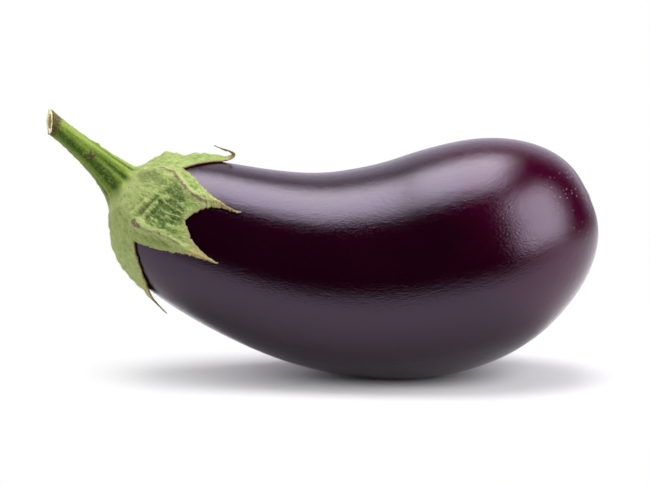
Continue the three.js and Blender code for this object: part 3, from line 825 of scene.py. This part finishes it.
def hairs_on(mesh, name, count, length, seed):
    """Spikes whose roots are drawn evenly over a mesh's hairy faces, by area, and lean off its
    normals at random."""
    draw = np.random.default_rng(seed)
    mesh.calc_loop_triangles()
    corners = np.zeros(3 * len(mesh.loop_triangles), np.int32)
    mesh.loop_triangles.foreach_get("vertices", corners)
    places = np.zeros(3 * len(mesh.vertices))
    mesh.vertices.foreach_get("co", places)
    triangles = places.reshape(-1, 3)[corners.reshape(-1, 3)]
    hairy = np.zeros(len(mesh.vertices))
    mesh.attributes["hairy"].data.foreach_get("value", hairy)
    square = np.cross(triangles[:, 1] - triangles[:, 0], triangles[:, 2] - triangles[:, 0])
    area = np.linalg.norm(square, axis=-1) * hairy[corners.reshape(-1, 3)].min(axis=1)
    picked = draw.choice(len(area), count, p=area / area.sum())
    first, second = np.sort(draw.random((2, count)), axis=0)
    weights = np.stack([first, second - first, 1 - second], axis=-1)
    root = (triangles[picked] * weights[..., None]).sum(axis=1)
    normal = square[picked] / np.linalg.norm(square[picked], axis=-1, keepdims=True)
    way = normal + draw.normal(scale=HAIR_TOUSLE, size=(count, 3))
    way /= np.linalg.norm(way, axis=-1, keepdims=True)
    way = np.where((way * normal).sum(axis=-1, keepdims=True) < 0.15, normal, way)
    across = np.cross(way, draw.normal(size=(count, 3)))
    across /= np.linalg.norm(across, axis=-1, keepdims=True)
    third = np.cross(way, across)
    long = (length * draw.uniform(0.5, 1.3, count))[:, None]
    base = root - way * ROOT_DEPTH
    turns = 2 * np.pi * np.arange(3) / 3
    ring = [base + HAIR_WIDTH / 2 * (across * np.cos(a) + third * np.sin(a)) for a in turns]
    points = np.stack([*ring, root + way * long], axis=1).reshape(-1, 3)
    start = 4 * np.arange(count)[:, None]
    sides = [0, 1, 3], [1, 2, 3], [2, 0, 3], [2, 1, 0]
    faces = np.concatenate([start + side for side in sides])
    spikes = bpy.data.meshes.new(name)
    spikes.from_pydata(points.tolist(), [], faces.tolist())
    return spikes


down, tree, shader = new_material("pale_down")
place = put(tree, "ShaderNodeTexCoord").outputs["Object"]
colour = blend_colour(tree, noise(tree, place, 300.0, 2.0), HAIR_COLOUR, HAIR_DARKER)
tree.links.new(colour, shader.inputs["Base Color"])
shader.inputs["Roughness"].default_value = 0.5
calyx_down = hairs_on(calyx_mesh, "calyx_down", CALYX_HAIRS, CALYX_HAIR_LENGTH, 5)
new_piece(calyx_down, down, "calyx_green")
stem_down = hairs_on(stem_mesh, "stem_down", STEM_HAIRS, STEM_HAIR_LENGTH, 6)
new_piece(stem_down, down, "stem_green")

# Floor: a plain white sheet. Seen by the camera it is lit up to white, away from the shadow, and
# reflections see it end a hand's breadth in front of the fruit, where the dark room starts.
PAPER_WHITE = (0.74, 0.73, 0.75, 1)
SHADOW_FROM, SHADOW_TO = 0.02, 0.15
FLOOR_ENDS_FROM, FLOOR_ENDS_TO = -0.15, -0.19
bpy.ops.mesh.primitive_plane_add(size=6, location=(0, 0, 0))
floor = bpy.context.object
floor.name = "floor"
paper, tree, shader = new_material("white_paper")
shader.inputs["Base Color"].default_value = PAPER_WHITE
shader.inputs["Roughness"].default_value = 1
shader.inputs["Specular IOR Level"].default_value = 0
place = put(tree, "ShaderNodeTexCoord").outputs["Object"]
axes = put(tree, "ShaderNodeSeparateXYZ", {"Vector": place})
seen = put(tree, "ShaderNodeLightPath").outputs["Is Camera Ray"]
centred = stretch(tree, place, (0.8, 1, 1))
away = put(tree, "ShaderNodeVectorMath", {0: centred}, operation="LENGTH").outputs["Value"]
glow = put(tree, "ShaderNodeEmission", {"Color": (1, 1, 1, 1), "Strength": 1.0}).outputs[0]
far = ramp_up(tree, away, SHADOW_FROM, SHADOW_TO)
to_camera = put(tree, "ShaderNodeMixShader", {0: far, 1: shader.outputs[0], 2: glow}).outputs[0]
dark = put(tree, "ShaderNodeEmission", {"Color": (0, 0, 0, 1)}).outputs[0]
in_front = ramp_up(tree, axes.outputs["Y"], FLOOR_ENDS_FROM, FLOOR_ENDS_TO)
to_gloss = put(tree, "ShaderNodeMixShader", {0: in_front, 1: shader.outputs[0], 2: dark}).outputs[0]
both_rays = put(tree, "ShaderNodeMixShader", {0: seen, 1: to_gloss, 2: to_camera}).outputs[0]
tree.links.new(both_rays, tree.nodes["Material Output"].inputs["Surface"])
floor.data.materials.append(paper)

# Light: a large softbox overhead, one to the right in front and a small one to the left, all of
# them soft at their edges, and a white wall behind.
OVERHEAD = dict(centre=(-0.07, 0.055, 0.77), aim=(-0.07, 0.055, 0.0),
                size=(0.57, 0.64), radiance=6.8)
RIGHT_FRONT = dict(centre=(0.565, -0.33, 0.385), aim=(0.053, -0.034, 0.072),
                   size=(0.57, 0.78), radiance=5.2)
LEFT = dict(centre=(-0.72, -0.25, 0.33), aim=(-0.09, 0, 0.06),
            size=(0.42, 0.50), radiance=4.4)
SOFT_EDGE = 0.42
WALL = 1.0
DARK_ROOM = 0.02
WALL_FROM, WALL_TO = 0.55, 0.75
WALL_TINT = (0.90, 0.84, 1, 1)


def softbox(name, centre, aim, size, radiance):
    """A rectangular lamp that the camera doesn't see, whose strength falls off to its edges."""
    lamp = bpy.data.lights.new(name, "AREA")
    lamp.shape = "RECTANGLE"
    lamp.size, lamp.size_y = size
    lamp.energy = 4 * size[0] * size[1] * radiance
    lamp.use_nodes = True
    tree = lamp.node_tree
    spot = put(tree, "ShaderNodeNewGeometry").outputs["Parametric"]
    sides = put(tree, "ShaderNodeSeparateXYZ", {"Vector": spot})
    strength = 1.0
    for side in ("X", "Y"):
        inset = put(tree, "ShaderNodeMath", {0: sides.outputs[side], 1: 0.5}, operation="SUBTRACT")
        inset = put(tree, "ShaderNodeMath", {0: inset.outputs[0]}, operation="ABSOLUTE").outputs[0]
        strength = product(tree, ramp_up(tree, inset, 0.5, SOFT_EDGE), strength)
    tree.links.new(strength, tree.nodes["Emission"].inputs["Strength"])
    box = bpy.data.objects.new(name, lamp)
    bpy.context.collection.objects.link(box)
    box.location = centre
    box.rotation_euler = (Vector(aim) - Vector(centre)).to_track_quat("-Z", "Y").to_euler()
    box.visible_camera = False


softbox("overhead", **OVERHEAD)
softbox("right_front", **RIGHT_FRONT)
softbox("left", **LEFT)

# The wall fills the ways that point well behind the fruit. The camera itself sees plain white.
world = bpy.data.worlds.new("studio")
bpy.context.scene.world = world
world.use_nodes = True
tree = world.node_tree
seen = put(tree, "ShaderNodeLightPath").outputs["Is Camera Ray"]
way = put(tree, "ShaderNodeTexCoord").outputs["Generated"]
axes = put(tree, "ShaderNodeSeparateXYZ", {"Vector": way})
room = {"Value": axes.outputs["Y"], "From Min": WALL_FROM, "From Max": WALL_TO,
        "To Min": DARK_ROOM, "To Max": WALL}
behind = put(tree, "ShaderNodeMapRange", room).outputs["Result"]
strength = put(tree, "ShaderNodeMath", {0: seen, 1: behind}, operation="MAXIMUM").outputs[0]
tint = blend_colour(tree, seen, WALL_TINT, (1, 1, 1, 1))
tree.links.new(tint, tree.nodes["Background"].inputs["Color"])
tree.links.new(strength, tree.nodes["Background"].inputs["Strength"])

# Camera: in front of the near side of the fruit and ten degrees up. Its lens takes in FIELD_WIDTH
# metres at the aim, which is the middle of the picture.
ELEVATION = np.radians(10)
DISTANCE = 1.2
FIELD_WIDTH = 0.2665
AIM = (-0.0316, 0, 0.0556)
lens = bpy.data.cameras.new("camera")
lens.sensor_width = 36
lens.lens = lens.sensor_width * DISTANCE / FIELD_WIDTH
camera = bpy.data.objects.new("camera", lens)
bpy.context.collection.objects.link(camera)
back, up = DISTANCE * np.cos(ELEVATION), DISTANCE * np.sin(ELEVATION)
camera.location = (AIM[0], AIM[1] - back, AIM[2] + up)
camera.rotation_euler = (np.pi / 2 - ELEVATION, 0, 0)
bpy.context.scene.camera = camera
bpy.context.scene.view_settings.view_transform = "Standard"
